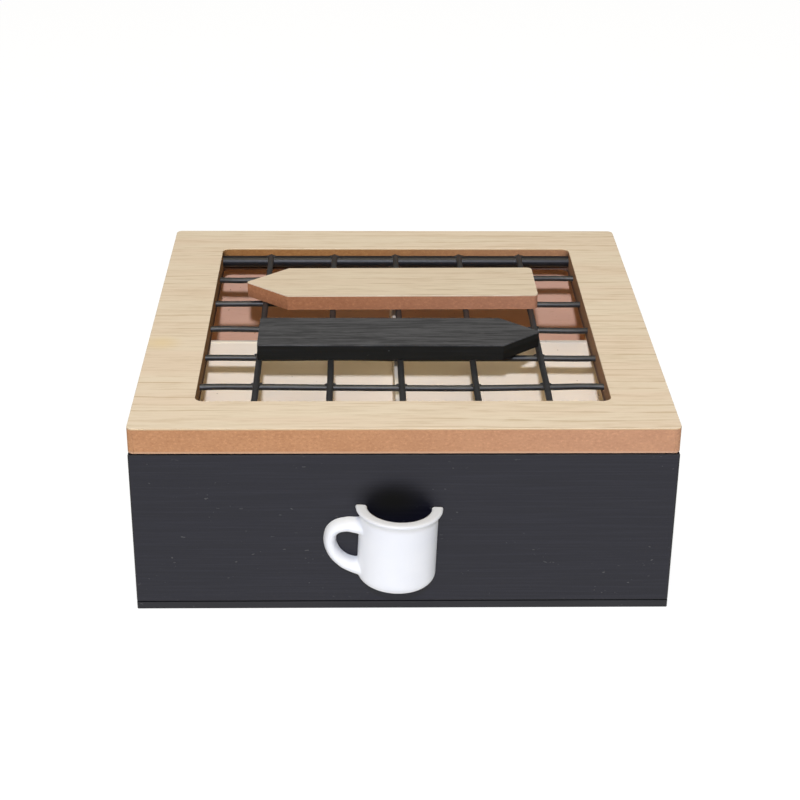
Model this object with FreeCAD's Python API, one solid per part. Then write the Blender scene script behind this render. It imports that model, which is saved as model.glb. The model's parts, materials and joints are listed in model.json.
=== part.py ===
import FreeCAD
import Part
import math
import os

# A square tea chest with one drawer. X runs to the right, Y to the back and Z up.
# The origin is the centre of the underside. All lengths are in millimetres.

# Case: a base, a back and two sides under a square top with a window
case_width = 240.0
case_depth = 240.0
body_height = 79.0
base_thickness = 3.5
case_back_thickness = 3.5
case_side_thickness = 6.0
body_edge_radius = 0.8

# Top: a board with a veneered upper face
top_board_thickness = 11.4
top_veneer_thickness = 0.6
rim_width = 27.2
top_corner_radius = 3.0
window_corner_radius = 4.0
veneer_edge_radius = 0.35

# Grid in the window: cross wires run along X, long wires lie on them along Y and
# end on the upper inner faces of two bars
wire_diameter = 3.0
wire_count = 5
wire_side_margin = 26.8
bar_diameter = 6.0
wire_top_drop = 2.4
bar_top_drop = 3.1
weld_sink = 0.2
socket_seat = 5.0
socket_loading_depth = 5.0
socket_clearance = 0.1

# Arrow signs on the grid
sign_board_thickness = 7.0
sign_veneer_thickness = 0.6
sign_edge_radius = 0.8
pale_sign_length = 146.0
pale_sign_width = 36.6
pale_sign_head = 21.0
pale_sign_tail_radius = 2.5
pale_sign_x = -3.7
pale_sign_y = 33.4
pale_sign_turn_degrees = 0.5
dark_sign_length = 133.8
dark_sign_width = 31.7
dark_sign_head = 18.4
dark_sign_tail_radius = 1.0
dark_sign_x = -0.6
dark_sign_y = -28.8
dark_sign_turn_degrees = -0.2
glue_film = 0.2
glue_bead_diameter = 5.0
glued_wire_count = 3

# Drawer
drawer_front_thickness = 9.0
drawer_side_thickness = 6.0
drawer_back_thickness = 4.5
drawer_bottom_thickness = 3.0
front_top_gap = 0.7
front_base_gap = 0.3
front_seat_gap = 0.3
drawer_side_gap = 0.8
drawer_back_gap = 1.0
drawer_run_gap = 0.3
drawer_top_gap = 1.5
housing_depth = 3.0

# Dividers: two boards halved over each other
divider_thickness = 3.0
divider_end_gap = 0.25
halving_clearance = 0.1
divider_cross_y = 1.5
divider_long_x = -1.5

# Brads
brad_diameter = 1.2
brad_length = 18.0
brad_head_diameter = 2.2
brad_head_thickness = 0.7
brad_clearance = 0.02
brad_row_inset = 30.0
brad_rise = 25.0
brad_rise_pitch = 32.0

# Half mug on the drawer front
mug_x = -2.8
mug_z = 35.0
mug_tilt_degrees = 2.2
mug_height = 36.6
mug_top_radius = 17.45
mug_flare = 0.2
mug_foot_radius = 3.5
mug_wall = 2.4
mug_hollow_depth = 16.0
mug_hollow_radius = 3.0
rim_roll_height = 3.2
rim_roll_overhang = 1.9
rim_roll_lip = 0.9
handle_thickness = 5.7
handle_depth = 6.0
handle_reach = 30.1
handle_top_rise = 8.7
handle_bottom_drop = 11.3
handle_bend_radius = 7.0

# Screws that hold the mug
screw_diameter = 3.0
screw_length = 17.0
screw_head_diameter = 5.6
screw_head_height = 2.2
screw_head_edge = 1.0
screw_pitch = 16.0
screw_drop = 7.0
screw_hole_clearance = 0.2
pilot_clearance = 0.02
recess_width = 0.9
recess_length = 3.2
recess_depth = 1.3

# How far a cutting shape reaches past what it cuts
overrun = 5.0

AXIS_X = FreeCAD.Vector(1, 0, 0)
AXIS_Y = FreeCAD.Vector(0, 1, 0)
AXIS_Z = FreeCAD.Vector(0, 0, 1)

# Places that follow from the sizes above
half_width = case_width / 2
half_depth = case_depth / 2
front_y = -half_depth
top_z = body_height + top_board_thickness + top_veneer_thickness
window_half_width = half_width - rim_width
window_half_depth = half_depth - rim_width

case_inner_x = half_width - case_side_thickness
case_inner_back_y = half_depth - case_back_thickness

long_wire_z = top_z - wire_top_drop - wire_diameter / 2
cross_wire_z = long_wire_z - wire_diameter + weld_sink
bar_z = top_z - bar_top_drop - bar_diameter / 2
bar_y = window_half_depth - bar_diameter / 2

sign_z = top_z - wire_top_drop + glue_film
sign_veneer_z = sign_z + sign_board_thickness

front_back_y = front_y + drawer_front_thickness
front_low_z = base_thickness + front_base_gap
front_high_z = body_height - front_top_gap
drawer_outer_x = case_inner_x - drawer_side_gap
drawer_inner_x = drawer_outer_x - drawer_side_thickness
drawer_outer_back_y = case_inner_back_y - drawer_back_gap
drawer_inner_back_y = drawer_outer_back_y - drawer_back_thickness
drawer_low_z = base_thickness + drawer_run_gap
drawer_floor_z = drawer_low_z + drawer_bottom_thickness
drawer_high_z = body_height - drawer_top_gap


def block(low_x, high_x, low_y, high_y, low_z, high_z):
    corner = FreeCAD.Vector(low_x, low_y, low_z)
    return Part.makeBox(high_x - low_x, high_y - low_y, high_z - low_z, corner)


def upright_edges(shape):
    found = []
    for edge in shape.Edges:
        tangent = edge.tangentAt(edge.FirstParameter)
        if abs(tangent.z) > math.cos(math.radians(1)):
            found.append(edge)
    return found


def rounded_block(low_x, high_x, low_y, high_y, low_z, high_z, radius):
    shape = block(low_x, high_x, low_y, high_y, low_z, high_z)
    return shape.makeFillet(radius, upright_edges(shape))


def rod(start, direction, length, diameter):
    return Part.makeCylinder(diameter / 2, length, start, direction)


def wire_places(window_half):
    # Evenly spaced, the outer wires one margin inside the window's sides
    reach = window_half - wire_side_margin
    pitch = 2 * reach / (wire_count - 1)
    return [index * pitch - reach for index in range(wire_count)]


def long_wire_places():
    return wire_places(window_half_width)


def cross_wire_places():
    return wire_places(window_half_depth)


def save(name, shape):
    solids = shape.Solids
    for solid in solids:
        if not solid.isValid():
            raise RuntimeError(name + " holds a solid that is not valid")
    result = solids[0] if len(solids) == 1 else Part.makeCompound(solids)
    result.exportStep("parts/" + name + ".step")


# Top: board and veneer share one outline and one window

def ring(low_z, high_z):
    outside = rounded_block(-half_width, half_width, -half_depth, half_depth,
                            low_z, high_z, top_corner_radius)
    window = rounded_block(-window_half_width, window_half_width,
                           -window_half_depth, window_half_depth,
                           low_z - overrun, high_z + overrun, window_corner_radius)
    return outside.cut(window)


def sockets():
    # The grid is pushed into the deeper sockets on the left and then drawn back to the right
    rods = []
    start_x = -window_half_width - socket_seat - socket_loading_depth
    length = 2 * window_half_width + 2 * socket_seat + socket_loading_depth
    for place_y in cross_wire_places():
        start = FreeCAD.Vector(start_x, place_y, cross_wire_z)
        rods.append(rod(start, AXIS_X, length, wire_diameter + 2 * socket_clearance))
    for place_y in (-bar_y, bar_y):
        start = FreeCAD.Vector(start_x, place_y, bar_z)
        rods.append(rod(start, AXIS_X, length, bar_diameter + 2 * socket_clearance))
    return rods


def top_frame():
    shape = ring(body_height, body_height + top_board_thickness)
    for socket in sockets():
        shape = shape.cut(socket)
    return shape


def top_veneer():
    shape = ring(body_height + top_board_thickness, top_z)
    radius = min(veneer_edge_radius, top_veneer_thickness / 2)
    rim = [edge for edge in shape.Edges if edge.BoundBox.ZMin > top_z - radius]
    return shape.makeFillet(radius, rim)


# Grid

def cross_wire(place_y):
    reach = window_half_width + socket_seat
    start = FreeCAD.Vector(-reach, place_y, cross_wire_z)
    return rod(start, AXIS_X, 2 * reach, wire_diameter)


def grid_bar(place_y):
    reach = window_half_width + socket_seat
    start = FreeCAD.Vector(-reach, place_y, bar_z)
    return rod(start, AXIS_X, 2 * reach, bar_diameter)


def long_wire(place_x):
    reach = bar_y - bar_diameter / 4
    start = FreeCAD.Vector(place_x, -reach, long_wire_z)
    shape = rod(start, AXIS_Y, 2 * reach, wire_diameter)
    for place_y in cross_wire_places():
        shape = shape.cut(cross_wire(place_y))
    for place_y in (-bar_y, bar_y):
        shape = shape.cut(grid_bar(place_y))
    return shape


# Signs

def arrow_plate(length, width, head, tail_radius, low_z, thickness):
    # Its middle is at the origin and its tip points along +X
    half = width / 2
    tip_x = length / 2
    shoulder_x = tip_x - head
    corners = [
        FreeCAD.Vector(tip_x, 0, low_z),
        FreeCAD.Vector(shoulder_x, half, low_z),
        FreeCAD.Vector(-tip_x, half, low_z),
        FreeCAD.Vector(-tip_x, -half, low_z),
        FreeCAD.Vector(shoulder_x, -half, low_z),
    ]
    face = Part.Face(Part.makePolygon(corners + corners[:1]))
    plate = face.extrude(AXIS_Z * thickness)
    tail = [edge for edge in upright_edges(plate) if edge.BoundBox.XMax < 0]
    plate = plate.makeFillet(tail_radius, tail)
    nose = [edge for edge in upright_edges(plate) if edge.BoundBox.XMin > shoulder_x - head]
    return plate.makeFillet(sign_edge_radius, nose)


def place_sign(shape, middle_x, middle_y, turn):
    shape.rotate(FreeCAD.Vector(0, 0, 0), AXIS_Z, turn)
    shape.translate(FreeCAD.Vector(middle_x, middle_y, 0))
    return shape


def pale_sign(low_z, thickness):
    # Points to the left
    plate = arrow_plate(pale_sign_length, pale_sign_width, pale_sign_head,
                        pale_sign_tail_radius, low_z, thickness)
    return place_sign(plate, pale_sign_x, pale_sign_y, 180 + pale_sign_turn_degrees)


def dark_sign(low_z, thickness):
    # Points to the right
    plate = arrow_plate(dark_sign_length, dark_sign_width, dark_sign_head,
                        dark_sign_tail_radius, low_z, thickness)
    return place_sign(plate, dark_sign_x, dark_sign_y, dark_sign_turn_degrees)


def glue_beads():
    # Each bead straddles a wire and fills the film between the wire and the board
    beads = []
    skipped = (wire_count - glued_wire_count) // 2
    glued_places = long_wire_places()[skipped:wire_count - skipped]
    height = sign_z - long_wire_z
    for sign_y in (pale_sign_y, dark_sign_y):
        for place_x in glued_places:
            start = FreeCAD.Vector(place_x, sign_y, long_wire_z)
            bead = rod(start, AXIS_Z, height, glue_bead_diameter)
            for place_y in cross_wire_places():
                bead = bead.cut(cross_wire(place_y))
            beads.append(bead.cut(long_wire(place_x)))
    return Part.makeCompound(beads)


# Brads

def brad(start, direction, clearance):
    shank = rod(start, direction, brad_length, brad_diameter + 2 * clearance)
    head = rod(start, direction, brad_head_thickness, brad_head_diameter + 2 * clearance)
    return shank.fuse(head).removeSplitter()


def row_places():
    reach = half_depth - brad_row_inset
    return [-reach, 0, reach]


def rise_places():
    return [brad_rise, brad_rise + brad_rise_pitch]


def case_brads(clearance):
    shapes = []
    for side in (-1, 1):
        place_x = side * (half_width - case_side_thickness / 2)
        for place_y in row_places():
            shapes.append(brad(FreeCAD.Vector(place_x, place_y, 0), AXIS_Z, clearance))
        for place_z in rise_places():
            start = FreeCAD.Vector(place_x, half_depth, place_z)
            shapes.append(brad(start, AXIS_Y * -1, clearance))
    return shapes


def drawer_brads(clearance):
    shapes = []
    for side in (-1, 1):
        place_x = side * (drawer_outer_x - drawer_side_thickness / 2)
        for place_y in row_places():
            start = FreeCAD.Vector(place_x, place_y, drawer_low_z)
            shapes.append(brad(start, AXIS_Z, clearance))
        for place_z in rise_places():
            place_y = drawer_inner_back_y + drawer_back_thickness / 2
            start = FreeCAD.Vector(side * drawer_outer_x, place_y, place_z)
            shapes.append(brad(start, AXIS_X * -side, clearance))
    return shapes


def pinned(shape, brads):
    for pin in brads:
        if shape.BoundBox.intersect(pin.BoundBox):
            shape = shape.cut(pin)
    return shape


# Case boards

def case_side(side):
    inner = side * case_inner_x
    outer = side * half_width
    shape = block(min(inner, outer), max(inner, outer),
                  front_back_y + front_seat_gap, case_inner_back_y,
                  base_thickness, body_height)
    return pinned(shape, case_brads(brad_clearance))


def case_back():
    shape = block(-half_width, half_width, case_inner_back_y, half_depth,
                  base_thickness, body_height)
    return pinned(shape, case_brads(brad_clearance))


def case_base():
    shape = rounded_block(-half_width, half_width, -half_depth, half_depth,
                          0, base_thickness, body_edge_radius)
    return pinned(shape, case_brads(brad_clearance))


# Drawer boards

def drawer_side(side):
    inner = side * drawer_inner_x
    outer = side * drawer_outer_x
    shape = block(min(inner, outer), max(inner, outer),
                  front_back_y - housing_depth, drawer_outer_back_y,
                  drawer_floor_z, drawer_high_z)
    return pinned(shape, drawer_brads(brad_clearance))


def drawer_front():
    # The sides end in housings cut in the back of the front
    shape = rounded_block(-half_width, half_width, front_y, front_back_y,
                          front_low_z, front_high_z, body_edge_radius)
    for side in (-1, 1):
        shape = shape.cut(drawer_side(side))
    for screw in mug_screws(screw_hole_clearance):
        shape = shape.cut(screw)
    return shape


def drawer_back():
    shape = block(-drawer_inner_x, drawer_inner_x, drawer_inner_back_y, drawer_outer_back_y,
                  drawer_floor_z, drawer_high_z)
    return pinned(shape, drawer_brads(brad_clearance))


def drawer_bottom():
    shape = block(-drawer_outer_x, drawer_outer_x, front_back_y, drawer_outer_back_y,
                  drawer_low_z, drawer_floor_z)
    return pinned(shape, drawer_brads(brad_clearance))


# Dividers

def halving_z():
    return (drawer_floor_z + drawer_high_z) / 2


def divider_cross():
    # Its slot opens upwards
    reach = drawer_inner_x - divider_end_gap
    half = divider_thickness / 2
    shape = block(-reach, reach, divider_cross_y - half, divider_cross_y + half,
                  drawer_floor_z, drawer_high_z)
    slot_half = half + halving_clearance
    slot = block(divider_long_x - slot_half, divider_long_x + slot_half,
                 divider_cross_y - divider_thickness, divider_cross_y + divider_thickness,
                 halving_z() - halving_clearance, drawer_high_z + overrun)
    return shape.cut(slot)


def divider_long():
    # Its slot opens downwards
    half = divider_thickness / 2
    shape = block(divider_long_x - half, divider_long_x + half,
                  front_back_y + divider_end_gap, drawer_inner_back_y - divider_end_gap,
                  drawer_floor_z, drawer_high_z)
    slot_half = half + halving_clearance
    slot = block(divider_long_x - divider_thickness, divider_long_x + divider_thickness,
                 divider_cross_y - slot_half, divider_cross_y + slot_half,
                 drawer_floor_z - overrun, halving_z() + halving_clearance)
    return shape.cut(slot)


# Half mug: made upright about its own axis on the front's face, then set on the front

def set_on_front(shape):
    shape.rotate(FreeCAD.Vector(0, 0, 0), AXIS_Y, mug_tilt_degrees)
    shape.translate(FreeCAD.Vector(mug_x, front_y, mug_z))
    return shape


def oval(centre, one_half, other_half):
    if one_half.Length < other_half.Length:
        one_half, other_half = other_half, one_half
    return Part.Wire([Part.Ellipse(centre + one_half, centre + other_half, centre).toShape()])


def half_turn(face):
    # From the left of the axis, round the front, to its right
    return face.revolve(FreeCAD.Vector(0, 0, 0), AXIS_Z, 180)


def mug_body():
    low = -mug_height / 2
    high = mug_height / 2 - rim_roll_height / 2
    bottom_radius = mug_top_radius + mug_flare
    foot = min(mug_foot_radius, bottom_radius / 2)
    slope = math.sqrt(0.5)
    start = FreeCAD.Vector(0, 0, low)
    foot_in = FreeCAD.Vector(foot - bottom_radius, 0, low)
    foot_middle = FreeCAD.Vector(foot - foot * slope - bottom_radius, 0, low + foot - foot * slope)
    foot_out = FreeCAD.Vector(-bottom_radius, 0, low + foot)
    wall_top = FreeCAD.Vector(-mug_top_radius, 0, high)
    axis_top = FreeCAD.Vector(0, 0, high)
    outline = Part.Wire([
        Part.makeLine(start, foot_in),
        Part.Arc(foot_in, foot_middle, foot_out).toShape(),
        Part.makeLine(foot_out, wall_top),
        Part.makeLine(wall_top, axis_top),
        Part.makeLine(axis_top, start),
    ])
    return half_turn(Part.Face(outline))


def mug_hollow():
    radius = mug_top_radius - mug_wall
    low = mug_height / 2 - mug_hollow_depth
    high = mug_height / 2 + overrun
    bend = min(mug_hollow_radius, radius / 2)
    slope = math.sqrt(0.5)
    start = FreeCAD.Vector(0, 0, low)
    bend_in = FreeCAD.Vector(-radius + bend, 0, low)
    bend_middle = FreeCAD.Vector(-radius + bend - bend * slope, 0, low + bend - bend * slope)
    bend_out = FreeCAD.Vector(-radius, 0, low + bend)
    wall_top = FreeCAD.Vector(-radius, 0, high)
    axis_top = FreeCAD.Vector(0, 0, high)
    outline = Part.Wire([
        Part.makeLine(start, bend_in),
        Part.Arc(bend_in, bend_middle, bend_out).toShape(),
        Part.makeLine(bend_out, wall_top),
        Part.makeLine(wall_top, axis_top),
        Part.makeLine(axis_top, start),
    ])
    return half_turn(Part.Face(outline))


def mug_rim():
    outer = mug_top_radius + rim_roll_overhang
    inner = mug_top_radius - mug_wall - rim_roll_lip
    centre = FreeCAD.Vector(-(outer + inner) / 2, 0, mug_height / 2 - rim_roll_height / 2)
    half_across = (outer - inner) / 2
    half_up = rim_roll_height / 2
    return half_turn(Part.Face(oval(centre, AXIS_X * half_across, AXIS_Z * half_up)))


def mug_handle():
    # Half of a strap with an oval section, cut along the middle by the front's face
    big_radius = handle_top_rise - handle_bend_radius + handle_bottom_drop
    start_x = -(mug_top_radius - mug_wall / 2)
    bend_z = handle_top_rise - handle_bend_radius
    small_centre = FreeCAD.Vector(-handle_reach + handle_bend_radius, 0, bend_z)
    big_centre = FreeCAD.Vector(-handle_reach + big_radius, 0, bend_z)
    leftwards = AXIS_X * -1
    upwards = (leftwards + AXIS_Z).normalize()
    downwards = (leftwards - AXIS_Z).normalize()
    start = FreeCAD.Vector(start_x, 0, handle_top_rise)
    bend_top = small_centre + AXIS_Z * handle_bend_radius
    bend_left = small_centre + leftwards * handle_bend_radius
    foot = big_centre - AXIS_Z * big_radius
    root = FreeCAD.Vector(-mug_top_radius / 2, 0, foot.z)
    path = [
        Part.makeLine(start, bend_top),
        Part.Arc(bend_top, small_centre + upwards * handle_bend_radius, bend_left).toShape(),
        Part.Arc(bend_left, big_centre + downwards * big_radius, foot).toShape(),
        Part.makeLine(foot, root),
    ]
    section = oval(start, AXIS_Y * handle_depth, AXIS_Z * handle_thickness / 2)
    strap = Part.Wire(path).makePipeShell([section], True, True)
    reach = handle_reach + handle_thickness
    behind = block(-reach, reach, 0, reach, -reach, reach)
    return strap.cut(behind)


def screw_places():
    return [(side * screw_pitch / 2, -screw_drop) for side in (-1, 1)]


def mug_screws(clearance):
    # The shank runs forward through the front and into the mug's solid foot
    shapes = []
    for place_x, place_z in screw_places():
        seat = FreeCAD.Vector(place_x, drawer_front_thickness, place_z)
        shank = rod(seat, AXIS_Y * -1, screw_length, screw_diameter + 2 * clearance)
        shapes.append(set_on_front(shank))
    return shapes


def screw_heads():
    shapes = []
    for place_x, place_z in screw_places():
        seat = FreeCAD.Vector(place_x, drawer_front_thickness, place_z)
        edge = rod(seat, AXIS_Y, screw_head_edge, screw_head_diameter)
        crown_height = screw_head_height - screw_head_edge
        crown = Part.makeCone(screw_head_diameter / 2, recess_length / 2, crown_height,
                              seat + AXIS_Y * screw_head_edge, AXIS_Y)
        head = edge.fuse(crown).removeSplitter()
        top_y = drawer_front_thickness + screw_head_height
        for across, up in ((recess_length, recess_width), (recess_width, recess_length)):
            slot = block(place_x - across / 2, place_x + across / 2,
                         top_y - recess_depth, top_y + overrun,
                         place_z - up / 2, place_z + up / 2)
            head = head.cut(slot)
        shapes.append(set_on_front(head))
    return shapes


def screws():
    whole = []
    for shank, head in zip(mug_screws(0), screw_heads()):
        whole.append(shank.fuse(head).removeSplitter())
    return Part.makeCompound(whole)


def mug_pull():
    shape = mug_body().cut(mug_hollow())
    shape = shape.fuse(mug_rim()).fuse(mug_handle()).removeSplitter()
    shape = set_on_front(shape)
    for screw in mug_screws(pilot_clearance):
        shape = shape.cut(screw)
    return shape


def main():
    os.makedirs("parts", exist_ok=True)
    save("top_frame", top_frame())
    save("top_veneer", top_veneer())
    save("grid_bar_front", grid_bar(-bar_y))
    save("grid_bar_back", grid_bar(bar_y))
    for number, place_y in enumerate(cross_wire_places(), start=1):
        save("grid_cross_wire_" + str(number), cross_wire(place_y))
    for number, place_x in enumerate(long_wire_places(), start=1):
        save("grid_long_wire_" + str(number), long_wire(place_x))
    save("pale_sign_board", pale_sign(sign_z, sign_board_thickness))
    save("pale_sign_veneer", pale_sign(sign_veneer_z, sign_veneer_thickness))
    save("dark_sign_board", dark_sign(sign_z, sign_board_thickness))
    save("dark_sign_veneer", dark_sign(sign_veneer_z, sign_veneer_thickness))
    save("sign_glue_beads", glue_beads())
    save("case_side_left", case_side(-1))
    save("case_side_right", case_side(1))
    save("case_back", case_back())
    save("case_base", case_base())
    save("case_brads", Part.makeCompound(case_brads(0)))
    save("drawer_front", drawer_front())
    save("drawer_side_left", drawer_side(-1))
    save("drawer_side_right", drawer_side(1))
    save("drawer_back", drawer_back())
    save("drawer_bottom", drawer_bottom())
    save("divider_cross", divider_cross())
    save("divider_long", divider_long())
    save("drawer_brads", Part.makeCompound(drawer_brads(0)))
    save("mug_pull", mug_pull())
    save("mug_screws", screws())


main()
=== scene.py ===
import json
import math
import random

import bmesh
import bpy
from mathutils import Matrix, Vector

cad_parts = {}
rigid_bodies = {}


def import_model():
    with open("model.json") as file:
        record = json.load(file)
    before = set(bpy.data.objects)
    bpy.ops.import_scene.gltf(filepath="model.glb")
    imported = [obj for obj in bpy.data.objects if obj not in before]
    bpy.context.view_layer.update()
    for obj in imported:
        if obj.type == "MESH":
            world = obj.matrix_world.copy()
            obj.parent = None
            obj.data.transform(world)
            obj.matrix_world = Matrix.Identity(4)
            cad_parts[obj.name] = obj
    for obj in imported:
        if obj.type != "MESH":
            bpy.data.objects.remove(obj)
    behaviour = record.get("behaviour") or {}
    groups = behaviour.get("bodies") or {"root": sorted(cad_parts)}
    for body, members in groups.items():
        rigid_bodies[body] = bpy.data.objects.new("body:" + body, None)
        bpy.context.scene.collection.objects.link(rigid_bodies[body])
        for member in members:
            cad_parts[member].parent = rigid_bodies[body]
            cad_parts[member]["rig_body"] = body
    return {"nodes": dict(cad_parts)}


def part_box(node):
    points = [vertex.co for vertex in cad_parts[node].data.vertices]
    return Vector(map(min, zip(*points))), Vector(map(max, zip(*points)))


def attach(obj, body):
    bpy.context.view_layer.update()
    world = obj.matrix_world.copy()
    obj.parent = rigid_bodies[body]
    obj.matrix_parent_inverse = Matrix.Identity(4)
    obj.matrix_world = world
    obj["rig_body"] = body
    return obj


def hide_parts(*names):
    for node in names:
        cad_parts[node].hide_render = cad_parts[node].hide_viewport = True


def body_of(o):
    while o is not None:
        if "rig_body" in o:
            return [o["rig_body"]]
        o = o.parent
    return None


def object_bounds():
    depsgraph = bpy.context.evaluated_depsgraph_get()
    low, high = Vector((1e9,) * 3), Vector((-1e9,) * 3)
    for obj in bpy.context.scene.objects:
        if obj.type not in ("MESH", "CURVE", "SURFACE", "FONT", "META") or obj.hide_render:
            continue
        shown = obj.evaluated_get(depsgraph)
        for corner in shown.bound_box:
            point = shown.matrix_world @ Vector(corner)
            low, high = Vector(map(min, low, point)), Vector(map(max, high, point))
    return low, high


# A square tea chest with one drawer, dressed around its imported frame.
# X runs to the right, Y to the back and Z up. Lengths are in metres.

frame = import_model()
frame_low, frame_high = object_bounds()

MM = 0.001

# Grid of wires
WIRE_DIAMETER = 3.0 * MM
WIRE_SWAY = 0.15 * MM
WIRE_LIFT = 0.12 * MM
# How far in millimetres each cross wire is bent to the back, near its left end, at each long wire
# and near its right end
CROSS_BENDS = [
    (0.9, 1.2, 0.6, -0.1, 0.0, 0.9, 1.2),
    (0.3, 0.3, 0.2, 0.1, -0.1, -0.4, -0.6),
    (1.2, 0.9, 0.5, 0.0, -0.3, -0.6, -0.8),
    (-0.1, -0.2, -0.2, -0.4, -0.5, -0.6, -0.7),
    (-1.6, -1.5, -0.9, -0.3, 0.2, 0.7, 1.0),
]
# How far in millimetres each long wire is bent to the right
LONG_BENDS = (-1.0, -0.15, -0.25, 0.8, 0.05)
# Knots of a wire before its first crossing, which are as many as after its last one
END_KNOTS = 2
SOCKET_DISTANCE = 5.5 * MM
WIRE_ROUND_STEPS = 5
WIRE_LONG_STEPS = 10
CHANCE_SEED = 11

# Webs of weld metal where wires cross
WEB_REACH = 2.9 * MM
WEB_WAIST = 1.6 * MM
WEB_THICKNESS = 1.4 * MM
WEB_EASE = WEB_THICKNESS / 3
# How deep the middle of a web lies in a bar
WEB_SINK = WEB_THICKNESS / 4
WEB_STEPS = 16
# The higher this power, the thinner the four corners of a web
WEB_POWER = 3
# A web is turned by no more than this, in radians
WEB_TURN = 0.1

# Half mug on the drawer front
MUG_CENTRE = Vector((-2.8, -120.0, 35.0)) * MM
MUG_TILT = math.radians(2.2)
MUG_HEIGHT = 36.6 * MM
MUG_TOP_RADIUS = 17.45 * MM
MUG_FLARE = 0.2 * MM
MUG_FOOT_RADIUS = 4.2 * MM
MUG_WALL = 2.4 * MM
# The mug's body ends this far below its rim, inside the lip
MUG_BODY_DROP = 2.2 * MM
MUG_HOLLOW_DEPTH = 16.0 * MM
MUG_HOLLOW_RADIUS = 3.0 * MM
# How far down into the hollow the glaze stays white; below that the inside is painted shade
CUP_WHITE_DEPTH = 1.6 * MM
# Section of the mug's lip in millimetres: how far beyond the body's radius and how far above its top
LIP_SECTION = [
    (0.1, -4.4), (0.45, -3.3), (1.15, -2.2), (1.75, -1.5), (2.0, -0.95), (1.75, -0.35), (1.1, 0.0),
    (-2.0, 0.0), (-2.8, -0.3), (-3.2, -1.0), (-3.0, -1.8), (-2.4, -2.4), (-1.2, -4.4),
]
# Middle line of the handle in millimetres, to the right and up, and how many times as thick as
# usual it is there
HANDLE_KNOTS = [
    (-14.8, 8.3, 1.35),
    (-18.6, 8.5, 1.12),
    (-23.4, 8.6, 1.0),
    (-28.3, 6.4, 0.96),
    (-30.1, 1.7, 0.96),
    (-28.9, -4.0, 0.98),
    (-25.3, -8.6, 1.0),
    (-20.4, -11.3, 1.1),
    (-14.6, -12.2, 1.35),
]
HANDLE_THICKNESS = 5.9 * MM
# How far the handle stands out from the drawer front
HANDLE_DEPTH = 6.1 * MM
HANDLE_STEPS = 8
MUG_ARC_STEPS = 6
MUG_SPIN_STEPS = 48
MUG_JOIN_DISTANCE = 0.01 * MM
MUG_VOXEL = 0.42 * MM
MUG_SMOOTHING = 10
MUG_SMOOTHING_SHARE = 0.5

# Eased edges
BOARD_EASE = 0.5 * MM
LID_EASE = 0.25 * MM
SIGN_EASE = 0.3 * MM
DIVIDER_EASE = 0.35 * MM
EASE_STEPS = 2
EASED_FACE_AREA = 6.0 * MM * MM
# Corners nearer than this become one, and faces that turn by less than the angle become one face
JOIN_DISTANCE = 0.001 * MM
FLAT_ANGLE = math.radians(0.5)
SHARP_ANGLE = math.radians(30)
# Flat sides larger than this in all are filled anew round their nail holes
REFILLED_AREA = 1000.0 * MM * MM
# Faces of the lid board nearer to the middle than this belong to the window
WINDOW_REACH = 100.0 * MM
# Part of a normal that lies along one axis: more than this on a flat side, on a plain side and on
# a level face
FLAT_PART = 0.9999
PLAIN_PART = 0.99
LEVEL_PART = 0.7

# Patterns of the materials
# Most of a noise lies between these two values
NOISE_SPAN = (0.3, 0.7)
# A soft spot is full up to this share of its reach
SPOT_FULL = 0.05
RINGS_PER_METRE = 135.0
RING_WANDER = 1.6
RING_SHARE = 0.8
# Middle and half size, to the right and back, of a yellow stain in the lid's veneer
STAIN_MIDDLE = (-114.0 * MM, -30.0 * MM)
STAIN_REACH = (13.0 * MM, 11.0 * MM)
STAIN_SHARE = 0.55
STAIN_COLOUR = (0.80, 0.61, 0.33)
VENEER_EDGE_HEIGHT = 90.95 * MM
VENEER_EDGE_BLEND = 0.1 * MM
# Colours low on the lid board: full up to the first height and gone from the second one on
LID_LOW_MARK = (79.5 * MM, 80.2 * MM, (0.52, 0.31, 0.19))
# The window's walls turn near black low down: painted shade below the back bar
WINDOW_LOW_SHADE = (80.5 * MM, 84.5 * MM, (0.05, 0.02, 0.008))
# Fibreboard turns a little pinker from the one place to the other, from left to right
PINKER_FROM = -60.0 * MM
PINKER_TO = 110.0 * MM
PINKER_SHARE = 0.16
PINKER_COLOUR = (0.62, 0.40, 0.34)
SPECK_COLOUR = (0.05, 0.05, 0.053)
# Middle and half size, to the right and up, of the painted shade on the front above the mug, where
# the mug dims the paint's reflection
PAINTED_SHADE_MIDDLE = (-5.0 * MM, 56.0 * MM)
PAINTED_SHADE_REACH = (22.0 * MM, 13.5 * MM)
PAINTED_SHADE_COLOUR = (0.0100, 0.0098, 0.0093)
# Share of the paint's gloss that the painted shade above the mug takes away
PAINTED_SHADE_GLOSS_CUT = 0.95
# The comb marks on the front come in between the first two heights and fade between the other two
COMB_START = (4.2 * MM, 5.0 * MM)
COMB_END = (8.0 * MM, 11.0 * MM)
COMB_TEETH = 110.0
COMB_DEPTH = 0.7
# Painted shade on the mug's top-lit rim comes in between these heights, and this is the rim's colour
# there
RIM_SHADE_FROM = MUG_CENTRE.z + MUG_HEIGHT / 2 - 2.3 * MM
RIM_SHADE_TO = MUG_CENTRE.z + MUG_HEIGHT / 2 - 0.7 * MM
RIM_SHADE_COLOUR = (0.708, 0.715, 0.736)

# Camera and light, as in the photograph
CAMERA_PLACE = Vector((-18.8, -794.9, 436.4)) * MM
CAMERA_PITCH = math.radians(26.16)
CAMERA_YAW = math.radians(1.40)
CAMERA_ROLL = math.radians(0.56)
CAMERA_LENS = 79.3
CAMERA_SENSOR = 36.0
CAMERA_REACH = 100.0
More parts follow.
